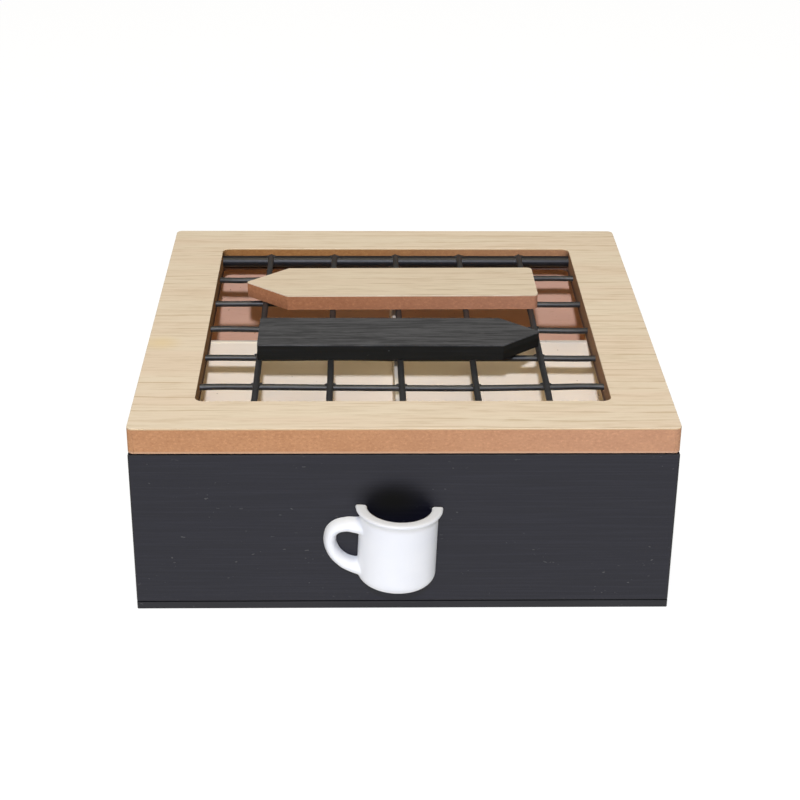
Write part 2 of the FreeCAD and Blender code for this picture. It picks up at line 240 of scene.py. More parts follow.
# Name, place, diameter, level and colour of each lamp. The level is how bright the lamp alone makes
# a white sheet that faces it at the middle of the lid.
LAMPS = [
    ("key_lamp", Vector((-26.0, -822.0, 605.0)) * MM, 30.0 * MM, 0.66, (0.96, 1.0, 1.14)),
    ("overhead_lamp", Vector((0.0, -330.0, 1430.0)) * MM, 500.0 * MM, 0.34, (1.07, 0.96, 0.65)),
    ("left_lamp", Vector((-900.0, -620.0, 420.0)) * MM, 700.0 * MM, 0.19, (1.0, 1.0, 1.0)),
    ("right_lamp", Vector((900.0, -620.0, 420.0)) * MM, 700.0 * MM, 0.12, (1.0, 1.0, 1.0)),
]
# Energy of a lamp at level 1
LAMP_ENERGY = math.pi * math.pi
SKY_LEVEL = 0.2
FLOOR_GREY = 0.8
FLOOR_GLOW = 0.86
FLOOR_SHADE = 0.2
FLOOR_SIZE = 12.0
# The floor lies this far under the base, so that the two do not share one plane
FLOOR_DROP = 0.1 * MM

# Sockets of a mix node that take and give colours
MIX_INPUTS = (6, 7)
MIX_OUTPUT = 2


class Finish:
    """One material, with the few node steps that its pattern needs."""

    def __init__(self, name, roughness, specular=0.5):
        self.material = bpy.data.materials.new(name)
        self.material.use_nodes = True
        self.tree = self.material.node_tree
        self.shader = self.tree.nodes["Principled BSDF"]
        self.shader.inputs["Roughness"].default_value = roughness
        self.shader.inputs["Specular IOR Level"].default_value = specular
        self.place = self.step("ShaderNodeTexCoord").outputs["Object"]

    def step(self, kind, values=None, **settings):
        node = self.tree.nodes.new(kind)
        for name, value in settings.items():
            setattr(node, name, value)
        for name, value in (values or {}).items():
            self.feed(node.inputs[name], value)
        return node

    def feed(self, socket, value):
        if isinstance(value, bpy.types.NodeSocket):
            self.tree.links.new(value, socket)
        else:
            socket.default_value = value

    def noise(self, per_metre, detail=2.0, rough=0.5, shift=(0.0, 0.0, 0.0)):
        """Noise with that many features to a metre along X, Y and Z."""
        stretched = self.step("ShaderNodeMapping", {
            "Vector": self.place, "Scale": per_metre, "Location": shift})
        made = self.step("ShaderNodeTexNoise", {
            "Vector": stretched.outputs["Vector"], "Scale": 1.0, "Detail": detail,
            "Roughness": rough})
        return made.outputs["Fac"]

    def ramp(self, value, start, end, bottom=0.0, top=1.0):
        """Goes smoothly from bottom to top while value goes from start to end, up or down."""
        made = self.step("ShaderNodeMapRange", {
            "Value": value, "From Min": start, "From Max": end, "To Min": bottom, "To Max": top},
            interpolation_type="SMOOTHSTEP")
        return made.outputs["Result"]

    def fall(self, value, start, end):
        """Falls smoothly from 1 to 0 while value goes from start to end."""
        return self.ramp(value, start, end, 1.0, 0.0)

    def spread(self, noise, bottom=0.0, top=1.0):
        """Goes from bottom to top with a noise."""
        return self.ramp(noise, *NOISE_SPAN, bottom, top)

    def calc(self, kind, first, second=0.0):
        """One step of arithmetic. A kind that needs one value only leaves the second one unused."""
        made = self.step("ShaderNodeMath", operation=kind)
        self.feed(made.inputs[0], first)
        self.feed(made.inputs[1], second)
        return made.outputs[0]

    def times(self, first, second):
        return self.calc("MULTIPLY", first, second)

    def plus(self, first, second):
        return self.calc("ADD", first, second)

    def axis(self, letter):
        split = self.step("ShaderNodeSeparateXYZ", {"Vector": self.place})
        return split.outputs[letter]

    def spot(self, letters, middle, reach):
        """1 in the middle of a soft oval spot in the plane of two axes, 0 from its edge on."""
        squares = []
        for letter, centre, half in zip(letters, middle, reach):
            away = self.calc("DIVIDE", self.calc("SUBTRACT", self.axis(letter), centre), half)
            squares.append(self.times(away, away))
        return self.fall(self.calc("SQRT", self.plus(*squares)), SPOT_FULL, 1.0)

    def mix(self, factor, first, second):
        """Goes from the first colour to the second while factor goes from 0 to 1."""
        made = self.step("ShaderNodeMix", {"Factor": factor}, data_type="RGBA")
        for number, colour in zip(MIX_INPUTS, (first, second)):
            plain = not isinstance(colour, bpy.types.NodeSocket)
            self.feed(made.inputs[number], (*colour, 1.0) if plain else colour)
        return made.outputs[MIX_OUTPUT]

    def colour(self, value):
        self.feed(self.shader.inputs["Base Color"], value)

    def roughness(self, value):
        self.feed(self.shader.inputs["Roughness"], value)

    def bump(self, height, distance, strength):
        made = self.step("ShaderNodeBump", {
            "Height": height, "Distance": distance, "Strength": strength})
        self.feed(self.shader.inputs["Normal"], made.outputs["Normal"])


def scaled(colour, factor):
    return [factor * part for part in colour]


# Materials

def veneer_finish(name, pale, grain, pink, edge_height=0.0):
    """Pale veneer with faint growth lines that run along X, each broken into short dashes.

    With an edge_height it is the lid's: it has a yellow stain, and below that height, where only
    its cut edge lies, it is darker.
    """
    made = Finish(name, roughness=0.62, specular=0.3)
    clouds = made.noise((9, 70, 70), detail=3.0)
    base = made.mix(made.ramp(clouds, 0.35, 0.68), pale, pink)
    streaks = made.noise((45, 520, 300), detail=5.0, rough=0.68)
    base = made.mix(made.ramp(streaks, 0.42, 0.74, top=0.42), base, grain)
    wander = made.noise((6, 45, 45), detail=1.0)
    rings = made.plus(made.times(made.axis("Y"), RINGS_PER_METRE), made.times(wander, RING_WANDER))
    ring = made.calc("FRACT", rings)
    line = made.times(made.ramp(ring, 0.78, 0.93), made.fall(ring, 0.94, 1.0))
    dashes = made.ramp(made.noise((60, 1300, 400)), 0.38, 0.58)
    worn = made.noise((6, 35, 35), detail=1.0, shift=(3.0, 1.0, 0.0))
    faint = made.ramp(worn, 0.4, 0.62, bottom=0.25)
    marks = made.times(made.times(line, dashes), faint)
    base = made.mix(made.times(marks, RING_SHARE), base, grain)
    if edge_height:
        stain = made.times(made.spot("XY", STAIN_MIDDLE, STAIN_REACH), STAIN_SHARE)
        base = made.mix(stain, base, STAIN_COLOUR)
        skirt = made.fall(made.axis("Z"), edge_height - VENEER_EDGE_BLEND, edge_height)
        base = made.mix(skirt, base, grain)
    made.colour(base)
    made.bump(made.plus(streaks, made.times(marks, -0.5)), 0.06 * MM, strength=0.5)
    return made.material


def fibreboard_finish(name, light, dark, low_band_and_shade=None):
    """Bare sawn fibreboard: fine fibres with soft blotches, a little pinker to the right.

    low_band_and_shade gives it another colour low down, a paler band of the board on the lid's edge
    and painted shade on the window's walls: the height up to which that is full, the height from
    which it is gone, and the colour.
    """
    made = Finish(name, roughness=0.85, specular=0.2)
    fibres = made.noise((600, 600, 900), detail=3.0, rough=0.72)
    blotches = made.noise((90, 90, 160), detail=3.0)
    base = made.mix(made.spread(blotches, 0.3, 0.55), light, dark)
    base = made.mix(made.ramp(fibres, 0.52, 0.66, top=0.62), base, dark)
    base = made.mix(made.ramp(fibres, 0.48, 0.32, top=0.45), base, scaled(light, 1.3))
    if low_band_and_shade:
        full_at, gone_at, colour = low_band_and_shade
        base = made.mix(made.fall(made.axis("Z"), full_at, gone_at), base, colour)
    pinker = made.ramp(made.axis("X"), PINKER_FROM, PINKER_TO, top=PINKER_SHARE)
    base = made.mix(pinker, base, PINKER_COLOUR)
    made.colour(base)
    made.bump(fibres, 0.12 * MM, strength=0.5)
    return made.material


def comb_marks(made):
    """Upright marks of a comb low on the drawer front."""
    teeth = made.step("ShaderNodeTexWave", {
        "Vector": made.place, "Scale": COMB_TEETH, "Distortion": 0.6, "Detail": 1.0},
        bands_direction="X")
    band = made.times(made.ramp(made.axis("Z"), *COMB_START), made.fall(made.axis("Z"), *COMB_END))
    return made.times(teeth.outputs["Fac"], band)


def black_paint_finish(name, rough=0.48, gloss=0.47, blue=0.0, on_front=False):
    """Black satin paint, brushed level, with a few specks that caught in it.

    blue makes it cooler or, below zero, warmer. On the drawer front it has comb marks low down and
    painted shade above the mug: a darker, less glossy spot.
    """
    made = Finish(name, roughness=rough, specular=gloss)
    strokes = made.noise((22, 22, 1300), detail=4.0, rough=0.65)
    sweep = made.noise((8, 8, 120))
    darkest = (0.0035, 0.0035, 0.006 + blue)
    lightest = (0.0085, 0.0085, 0.0125 + blue)
    base = made.mix(made.ramp(strokes, 0.4, 0.7), darkest, lightest)
    dust = made.noise((420, 420, 900), detail=1.0, rough=0.4)
    patches = made.ramp(made.noise((45, 45, 60), detail=1.0, shift=(5.0, 2.0, 8.0)), 0.5, 0.62)
    specks = made.times(made.ramp(dust, 0.735, 0.79), patches)
    if on_front:
        # Painted shade above the mug: darker colour and less gloss in a soft oval
        painted_shade = made.spot("XZ", PAINTED_SHADE_MIDDLE, PAINTED_SHADE_REACH)
        base = made.mix(painted_shade, base, PAINTED_SHADE_COLOUR)
        kept = made.calc("SUBTRACT", 1.0, made.times(painted_shade, PAINTED_SHADE_GLOSS_CUT))
        made.feed(made.shader.inputs["Specular IOR Level"], made.times(kept, gloss))
    made.colour(made.mix(specks, base, SPECK_COLOUR))
    brushed = made.ramp(strokes, 0.3, 0.75, rough - 0.03, rough + 0.05)
    made.roughness(made.plus(brushed, made.spread(sweep, -0.03, 0.03)))
    height = made.plus(strokes, made.times(specks, 1.5))
    if on_front:
        height = made.plus(height, made.times(comb_marks(made), COMB_DEPTH))
    made.bump(height, 0.09 * MM, strength=0.5)
    return made.material


def stained_veneer_finish():
    """Open-grained veneer stained nearly black, brushed along its length."""
    made = Finish("dark_stained_veneer", roughness=0.6, specular=0.3)
    grain = made.noise((45, 650, 400), detail=5.0, rough=0.72)
    fine = made.noise((170, 1200, 900), rough=0.6)
    base = made.mix(made.ramp(grain, 0.4, 0.62), (0.041, 0.041, 0.0435), (0.089, 0.089, 0.094))
    base = made.mix(made.ramp(fine, 0.56, 0.74, top=0.5), base, (0.12, 0.12, 0.121))
    made.colour(base)
    made.roughness(made.spread(grain, 0.54, 0.68))
    made.bump(made.plus(grain, made.times(fine, 0.5)), 0.12 * MM, strength=0.7)
    return made.material


def worn_edge_finish(name, paint, bare):
    """The eased edge of a painted board, rubbed through here and there."""
    made = Finish(name, roughness=0.6, specular=0.4)
    rubbed = made.noise((150, 150, 800), detail=3.0, rough=0.6)
    fine = made.noise((1200, 1200, 1200))
    share = made.times(made.ramp(rubbed, 0.4, 0.62), made.spread(fine, 0.5, 1.0))
    made.colour(made.mix(share, paint, bare))
    made.roughness(made.spread(rubbed, 0.5, 0.7))
    made.bump(fine, 0.08 * MM, strength=0.5)
    return made.material


def interior_board_finish(name, base, tint, fibre):
    """Thin unpainted board inside the drawer, smooth, with short fibres along X."""
    made = Finish(name, roughness=0.72, specular=0.25)
    clouds = made.noise((25, 25, 60), detail=3.0)
    fibres = made.noise((160, 160, 1300), detail=3.0, rough=0.6)
    colour = made.mix(made.ramp(clouds, 0.35, 0.68), base, tint)
    colour = made.mix(made.ramp(fibres, 0.55, 0.8, top=0.4), colour, fibre)
    flecks = made.ramp(made.noise((500, 500, 700), detail=1.0), 0.76, 0.8)
    made.colour(made.mix(made.times(flecks, 0.7), colour, scaled(fibre, 0.55)))
    made.bump(fibres, 0.05 * MM, strength=0.4)
    return made.material


def wire_finish(name, shade, gloss, ripple_height):
    """Black enamel on wire, with the slight ripple of a dipped coat."""
    made = Finish(name, roughness=0.46, specular=gloss)
    ripple = made.noise((200, 200, 200))
    pits = made.noise((1600, 1600, 1600), rough=0.6)
    made.colour(made.mix(made.ramp(ripple, 0.35, 0.7), shade, scaled(shade, 1.5)))
    made.roughness(made.spread(pits, 0.42, 0.5))
    made.bump(made.plus(ripple, made.times(pits, 0.08)), ripple_height, strength=0.4)
    return made.material


def glaze_finish():
    """White glaze with a cool cast, a little orange peel and slight pooling, with painted shade on
    the top-lit rim.
    """
    made = Finish("white_glaze", roughness=0.42, specular=0.35)
    peel = made.noise((420, 420, 420))
    pooling = made.noise((55, 55, 80))
    body = made.mix(made.ramp(pooling, 0.35, 0.68), (0.795, 0.803, 0.825), (0.778, 0.788, 0.815))
    # Painted shade: the rim is darker so that its top does not light up more than the body
    rim_shade = made.ramp(made.axis("Z"), RIM_SHADE_FROM, RIM_SHADE_TO)
    made.colour(made.mix(rim_shade, body, RIM_SHADE_COLOUR))
    made.roughness(made.spread(peel, 0.36, 0.48))
    made.bump(peel, 0.07 * MM, strength=0.35)
    return made.material


def cup_painted_shade_finish():
    """Painted shade for the inside of the half mug: near black, with faint brush marks across it."""
    made = Finish("cup_inside_painted_shade", roughness=0.7, specular=0.3)
    marks = made.noise((60, 60, 900), detail=3.0, rough=0.6)
    made.colour(made.mix(made.ramp(marks, 0.4, 0.7), (0.008, 0.008, 0.008), (0.018, 0.018, 0.018)))
    made.roughness(made.spread(marks, 0.62, 0.78))
    made.bump(marks, 0.05 * MM, strength=0.4)
    return made.material


def steel_finish():
    """Bright steel with fine turning marks and a few duller spots."""
    made = Finish("steel", roughness=0.34, specular=0.5)
    made.shader.inputs["Metallic"].default_value = 1.0
    turning = made.noise((1800, 1800, 1800))
    spots = made.noise((700, 700, 700))
    made.colour(made.mix(made.ramp(spots, 0.5, 0.72), (0.58, 0.57, 0.55), (0.36, 0.34, 0.31)))
    made.roughness(made.spread(turning, 0.26, 0.44))
    made.bump(turning, 0.03 * MM, strength=0.4)
    return made.material


def glue_finish():
    """Dried clear glue, slightly yellow and clouded."""
    made = Finish("clear_glue", roughness=0.22, specular=0.5)
    made.shader.inputs["Transmission Weight"].default_value = 0.7
    made.shader.inputs["IOR"].default_value = 1.48
    cloud = made.noise((500, 500, 500))
    made.colour(made.mix(made.spread(cloud), (0.86, 0.83, 0.72), (0.7, 0.66, 0.52)))
    made.bump(cloud, 0.1 * MM, strength=0.4)
    return made.material


LID_VENEER = veneer_finish("pale_veneer", (0.81, 0.69, 0.53), (0.54, 0.40, 0.24),
                           (0.80, 0.655, 0.50), VENEER_EDGE_HEIGHT)
SIGN_VENEER = veneer_finish("pale_sign_veneer", (0.765, 0.65, 0.495), (0.50, 0.38, 0.24),
                            (0.75, 0.62, 0.47))
LID_BOARD = fibreboard_finish("brown_fibreboard", (0.52, 0.268, 0.135), (0.37, 0.172, 0.08),
                              LID_LOW_MARK)
# The window's walls are darker copies of the lid's fibreboard, painted shade, darkest on the side
# walls
WINDOW_CUT_SHADED = fibreboard_finish("window_cut_painted_shade", (0.345, 0.165, 0.056), (0.245, 0.105, 0.03),
                               WINDOW_LOW_SHADE)
WINDOW_SIDE_CUT_SHADED = fibreboard_finish("window_side_cut_painted_shade", (0.29, 0.145, 0.05), (0.20, 0.095, 0.03),
                                    WINDOW_LOW_SHADE)
SIGN_BOARD = fibreboard_finish("sign_fibreboard", (0.40, 0.172, 0.082), (0.275, 0.11, 0.051))
BLACK_PAINT = black_paint_finish("black_painted_board")
FRONT_PAINT = black_paint_finish("black_painted_front", rough=0.35, gloss=0.435, blue=0.004,
                                 on_front=True)
SIGN_PAINT = black_paint_finish("black_painted_sign", rough=0.7, gloss=0.29, blue=-0.004)
PAINT_EDGE = worn_edge_finish("black_paint_edge", (0.008, 0.008, 0.0095), (0.022, 0.021, 0.022))
STAINED_VENEER = stained_veneer_finish()
STAINED_EDGE = worn_edge_finish("dark_stained_edge", (0.03, 0.03, 0.03), (0.34, 0.33, 0.31))
ROSE_BOARD = interior_board_finish("rose_board", (0.66, 0.40, 0.288), (0.69, 0.43, 0.313),
                                   (0.52, 0.28, 0.18))
SIDE_BOARD = interior_board_finish("side_board", (0.84, 0.64, 0.42), (0.86, 0.67, 0.46),
                                   (0.72, 0.50, 0.30))
CREAM_BOARD = interior_board_finish("cream_board", (0.95, 0.84, 0.69), (0.965, 0.87, 0.73),
                                    (0.86, 0.71, 0.50))
BOTTOM_BOARD = interior_board_finish("bottom_board", (0.92, 0.77, 0.48), (0.94, 0.80, 0.52),
                                     (0.83, 0.63, 0.35))
WIRE_ENAMEL = wire_finish("black_wire", (0.019, 0.019, 0.0205), 0.6, 0.04 * MM)
# The bars' enamel is a darker copy of the wires': painted shade that keeps the bars' tops dim
BAR_ENAMEL_SHADED = wire_finish("black_bar_painted_shade", (0.0055, 0.0055, 0.0085), 0.42, 0.03 * MM)
WHITE_GLAZE = glaze_finish()
CUP_PAINTED_SHADE = cup_painted_shade_finish()
STEEL = steel_finish()
CLEAR_GLUE = glue_finish()


# Making pieces

def body_of_node(name):
    return body_of(frame["nodes"][name])[0]


def add_piece(name, mesh, materials, body, replaced=()):
    """A finished mesh becomes a piece that rides on its body and stands for its nodes."""
    for material in materials:
        mesh.materials.append(material)
    mesh.shade_smooth()
    mesh.set_sharp_from_angle(angle=SHARP_ANGLE)
    piece = bpy.data.objects.new(name, mesh)
    bpy.context.scene.collection.objects.link(piece)
    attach(piece, body)
    if replaced:
        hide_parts(*replaced)
    return piece


def mesh_from(bm, name):
    mesh = bpy.data.meshes.new(name)
    bm.to_mesh(mesh)
    bm.free()
    return mesh


def join_part(whole, part):
    """Moves the geometry of one bmesh into another."""
    mesh = mesh_from(part, "joined_part")
    whole.from_mesh(mesh)
    bpy.data.meshes.remove(mesh)


def dress(node, material):
    mesh = frame["nodes"][node].data
    mesh.materials.clear()
    mesh.materials.append(material)


def straight_part(normal):
    """How much of a normal lies along its nearest axis: 1 for all of it."""
    return max(abs(part) for part in normal)


def window_material(face):
    """0 for the board's outside, 1 for the window's front and back walls, 2 for its side walls. 1
    and 2 are darker copies of the board: painted shade.
    """
    middle = face.calc_center_median()
    outside = max(abs(middle.x), abs(middle.y)) > WINDOW_REACH
    if outside or abs(face.normal.z) > LEVEL_PART:
        return 0
    return 2 if abs(face.normal.x) > abs(face.normal.y) else 1


def front_material(face):
    """0 for the painted outside of the drawer front, 1 for its eased edges, 2 for its bare back."""
    if face.normal.y > PLAIN_PART:
        return 2
    return 1 if straight_part(face.normal) < PLAIN_PART else 0


def sort_parts(bm):
    """Puts corners and faces in the order of their places, which is the same each run."""
    for parts, place in ((bm.verts, lambda vert: vert.co),
                         (bm.faces, lambda face: face.calc_center_median())):
        steps = {part: [round(length / JOIN_DISTANCE) for length in place(part)] for part in parts}
        for rank, part in enumerate(sorted(parts, key=steps.get)):
            part.index = rank
        parts.sort()


def refill_sides(bm):
    """Fills each large flat side anew with triangles, so that none of them crosses a nail hole."""
    sides = {}
    for face in bm.faces:
        # Faces of one side have the same normal and lie as far from the origin along it
        offset = face.normal.dot(face.verts[0].co)
        key = tuple(round(part, 3) for part in face.normal) + (round(offset / MM, 2),)
        sides.setdefault(key, []).append(face)
    for faces in sides.values():
        if len(faces) < 2 or sum(face.calc_area() for face in faces) < REFILLED_AREA:
            continue
        normal = faces[0].normal.copy()
        inside = set(faces)
        rim = {edge for face in faces for edge in face.edges
               if sum(linked in inside for linked in edge.link_faces) == 1}
        rim = [edge for edge in bm.edges if edge in rim]
        bmesh.ops.delete(bm, geom=faces, context="FACES_KEEP_BOUNDARY")
        bmesh.ops.triangle_fill(bm, use_beauty=True, use_dissolve=False, edges=rim, normal=normal)
    bmesh.ops.recalc_face_normals(bm, faces=bm.faces[:])
    sort_parts(bm)


def ease_edges(bm, width, least_area=0.0):
    """Rounds sharp edges between faces larger than least_area, and answers with the new faces."""
    sharp = [edge for edge in bm.edges
             if edge.calc_face_angle(0.0) > SHARP_ANGLE
             and min(face.calc_area() for face in edge.link_faces) > least_area]
    eased = bmesh.ops.bevel(bm, geom=sharp, offset=width, offset_type="OFFSET", affect="EDGES",
                            segments=EASE_STEPS, profile=0.5, material=-1, clamp_overlap=True)
    return eased["faces"]


def ease_board(node, width, materials, chosen_material=None, refill=False):
    """Copies a board of the frame, joins its loose triangles and eases its long edges.

    The second material goes on the eased edges. chosen_material, when given, gets each face and
    answers with the number of its material. refill is for a board whose joined sides cross its
    nail holes. Flat sides are shaded flat, so that the eased edges do not tint them.
    """
    bm = bmesh.new()
    bm.from_mesh(frame["nodes"][node].data)
    bmesh.ops.remove_doubles(bm, verts=bm.verts[:], dist=JOIN_DISTANCE)
    bmesh.ops.dissolve_limit(bm, angle_limit=FLAT_ANGLE, verts=bm.verts[:], edges=bm.edges[:])
    eased_faces = ease_edges(bm, width, EASED_FACE_AREA)
    for face in bm.faces:
        face.material_index = 0
    for face in eased_faces:
        face.material_index = min(1, len(materials) - 1)
    bm.normal_update()
    if refill:
        refill_sides(bm)
    if chosen_material:
        for face in bm.faces:
            face.material_index = chosen_material(face)
    name = node + "_eased"
    piece = add_piece(name, mesh_from(bm, name), materials, body_of_node(node), [node])
    for polygon in piece.data.polygons:
        polygon.use_smooth = straight_part(polygon.normal) <= FLAT_PART


def tube_mesh(name, points, shares, thickness, round_steps, long_steps):
    """A round tube through the points, with a share of its usual thickness at each."""
    curve = bpy.data.curves.new(name, "CURVE")
    curve.dimensions = "3D"
    curve.bevel_depth = thickness / 2
    curve.bevel_resolution = round_steps
    curve.resolution_u = long_steps
    curve.use_fill_caps = True
    spline = curve.splines.new("BEZIER")
    spline.bezier_points.add(len(points) - 1)
    for knot, point, share in zip(spline.bezier_points, points, shares):
        knot.co = point
        knot.radius = share
        knot.handle_left_type = "AUTO"
        knot.handle_right_type = "AUTO"
    holder = bpy.data.objects.new(name, curve)
    mesh = bpy.data.meshes.new_from_object(holder)
    bpy.data.objects.remove(holder)
    return mesh


# Grid of wires: the cross wires lie below, the long wires are welded on top of them

CROSS_WIRES = ["grid_cross_wire_" + str(number) for number in range(1, 6)]
LONG_WIRES = ["grid_long_wire_" + str(number) for number in range(1, 6)]
CHANCE = random.Random(CHANCE_SEED)


def middle_of(node):
    low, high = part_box(node)
    return (low + high) / 2


def knot_lifts():
    """Small lifts of one cross wire, one for each knot, with both ends left in their sockets."""
    between = len(LONG_WIRES) + 2 * END_KNOTS - 2
    return [0.0] + [CHANCE.uniform(-WIRE_LIFT, WIRE_LIFT) for _ in range(between)] + [0.0]


def knot_sways(bends):
    """Bends in metres, each with a little chance in it."""
    return [bend * MM + CHANCE.uniform(-WIRE_SWAY, WIRE_SWAY) for bend in bends]


def knot_stops(low, high, crossings):
    """Where the knots of a wire lie along it: its ends, points near them and all its crossings."""
    return [low, low + SOCKET_DISTANCE] + crossings + [high - SOCKET_DISTANCE, high]


def bend_wire(node, points):
    name = node + "_bent"
    mesh = tube_mesh(name, points, [1.0] * len(points), WIRE_DIAMETER, WIRE_ROUND_STEPS,
                     WIRE_LONG_STEPS)
    add_piece(name, mesh, [WIRE_ENAMEL], "case", [node])


def weld_web(place):
    """A slim four-cornered web of weld and enamel that fills the corners of one crossing."""
    turn = CHANCE.uniform(-WEB_TURN, WEB_TURN)
    bm = bmesh.new()
    lower = bmesh.ops.create_circle(bm, cap_ends=True, segments=WEB_STEPS, radius=1.0)["verts"]
    for vert in lower:
        along = abs(math.cos(2 * math.atan2(vert.co.y, vert.co.x)))
        vert.co *= WEB_WAIST + (WEB_REACH - WEB_WAIST) * along ** WEB_POWER
    upper = [bm.verts.new(vert.co + Vector((0, 0, WEB_THICKNESS))) for vert in lower]
    bm.faces.new(upper)
    for index in range(WEB_STEPS):
        bm.faces.new((lower[index - 1], lower[index], upper[index], upper[index - 1]))
    bmesh.ops.translate(bm, verts=bm.verts[:], vec=(0, 0, -WEB_THICKNESS / 2))
    bmesh.ops.rotate(bm, verts=bm.verts[:], cent=(0, 0, 0), matrix=Matrix.Rotation(turn, 3, "Z"))
    bmesh.ops.translate(bm, verts=bm.verts[:], vec=place)
    bmesh.ops.recalc_face_normals(bm, faces=bm.faces[:])
    ease_edges(bm, WEB_EASE)
    return bm


def make_grid():
    """Bent wires in place of the straight ones, and a web of weld metal at each crossing."""
    cross_middles = [middle_of(name) for name in CROSS_WIRES]
    long_middles = [middle_of(name) for name in LONG_WIRES]
    cross_sways = [[0.0] + knot_sways(bends) + [0.0] for bends in CROSS_BENDS]
    long_knots = len(CROSS_WIRES) + 2 * END_KNOTS
    long_sways = [knot_sways([bend] * long_knots) for bend in LONG_BENDS]
    lifts = [knot_lifts() for _ in CROSS_WIRES]
    level_ends = [0.0] * END_KNOTS
    for name, middle, sways, heights in zip(CROSS_WIRES, cross_middles, cross_sways, lifts):
        low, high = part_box(name)
        stops = knot_stops(low.x, high.x, [crossed.x for crossed in long_middles])
        bend_wire(name, [Vector((stop, middle.y + sway, middle.z + lift))
                         for stop, sway, lift in zip(stops, sways, heights)])
    for column, (name, middle, sways) in enumerate(zip(LONG_WIRES, long_middles, long_sways)):
        low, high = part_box(name)
        stops = knot_stops(low.y, high.y, [crossed.y for crossed in cross_middles])
        heights = level_ends + [lift[column + END_KNOTS] for lift in lifts] + level_ends
        bend_wire(name, [Vector((middle.x + sway, stop, middle.z + lift))
                         for stop, sway, lift in zip(stops, sways, heights)])
    places = []
    for row, cross in enumerate(cross_middles):
        for column, long in enumerate(long_middles):
            row_knot = row + END_KNOTS
            column_knot = column + END_KNOTS
            places.append(Vector((long.x + long_sways[column][row_knot],
                                  cross.y + cross_sways[row][column_knot],
                                  (cross.z + long.z) / 2 + lifts[row][column_knot])))
    # Each bar crosses the long wires at their knot next to that end
    for bar, knot in (("grid_bar_front", 1), ("grid_bar_back", -2)):
        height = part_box(bar)[1].z - WEB_SINK
        for sways, long in zip(long_sways, long_middles):
            places.append(Vector((long.x + sways[knot], middle_of(bar).y, height)))
    webs = bmesh.new()
    for place in places:
        join_part(webs, weld_web(place))
    add_piece("grid_welds", mesh_from(webs, "grid_welds"), [WIRE_ENAMEL], "case")


# Half mug

def arc_points(centre_x, centre_z, radius, start, end):
    """Points round an arc from one angle to another, in degrees."""
    points = []
    for index in range(MUG_ARC_STEPS + 1):
        angle = math.radians(start + (end - start) * index / MUG_ARC_STEPS)
        points.append((centre_x + radius * math.cos(angle), centre_z + radius * math.sin(angle)))
    return points


def half_spun(outline):
    """Spins a closed outline, drawn to the left of the mug's axis, half round by the front."""
    bm = bmesh.new()
    verts = [bm.verts.new((x, 0.0, z)) for x, z in outline]
    face = bm.faces.new(verts)
    bmesh.ops.spin(bm, geom=[face] + list(face.edges) + verts, cent=(0, 0, 0), axis=(0, 0, 1),
                   angle=math.pi, steps=MUG_SPIN_STEPS, use_duplicate=False)
    bmesh.ops.remove_doubles(bm, verts=bm.verts[:], dist=MUG_JOIN_DISTANCE)
    bmesh.ops.holes_fill(bm, edges=bm.edges[:], sides=0)
    bmesh.ops.recalc_face_normals(bm, faces=bm.faces[:])
    return bm


def mug_shell():
    """The mug's body with its hollow, up to the lip."""
    low = -MUG_HEIGHT / 2
    high = MUG_HEIGHT / 2 - MUG_BODY_DROP
    bottom_radius = MUG_TOP_RADIUS + MUG_FLARE
    inner_radius = MUG_TOP_RADIUS - MUG_WALL
    hollow_low = MUG_HEIGHT / 2 - MUG_HOLLOW_DEPTH
    outline = [(0.0, low)]
    outline += arc_points(MUG_FOOT_RADIUS - bottom_radius, low + MUG_FOOT_RADIUS,
                          MUG_FOOT_RADIUS, 270, 180)
    outline += [(-MUG_TOP_RADIUS, high), (-inner_radius, high)]
    outline += arc_points(MUG_HOLLOW_RADIUS - inner_radius, hollow_low + MUG_HOLLOW_RADIUS,
                          MUG_HOLLOW_RADIUS, 180, 270)
    outline += [(0.0, hollow_low)]
    return half_spun(outline)


def mug_lip():
    return half_spun([(-MUG_TOP_RADIUS - beyond * MM, MUG_HEIGHT / 2 + up * MM)
                      for beyond, up in LIP_SECTION])


def mug_handle():
    """A ring handle that thickens towards the body at both of its ends."""
    points = [Vector((x * MM, 0.0, z * MM)) for x, z, _ in HANDLE_KNOTS]
    shares = [share for _, _, share in HANDLE_KNOTS]
    mesh = tube_mesh("mug_handle", points, shares, HANDLE_THICKNESS, HANDLE_STEPS, HANDLE_STEPS)
    bm = bmesh.new()
    bm.from_mesh(mesh)
    # Half of the tube lies behind the front's face, so that the other half stands out by the depth
    bmesh.ops.scale(bm, verts=bm.verts[:], vec=(1.0, 2 * HANDLE_DEPTH / HANDLE_THICKNESS, 1.0))
    return bm


def inside_cup(place):
    """Whether a point on the mug, not yet tilted and moved, lies in its hollow below the lip."""
    from_axis = math.hypot(place.x, place.y)
    hollow_low = MUG_HEIGHT / 2 - MUG_HOLLOW_DEPTH - MUG_VOXEL
    lip_low = MUG_HEIGHT / 2 - CUP_WHITE_DEPTH
    return from_axis < MUG_TOP_RADIUS - MUG_WALL / 2 and hollow_low < place.z < lip_low


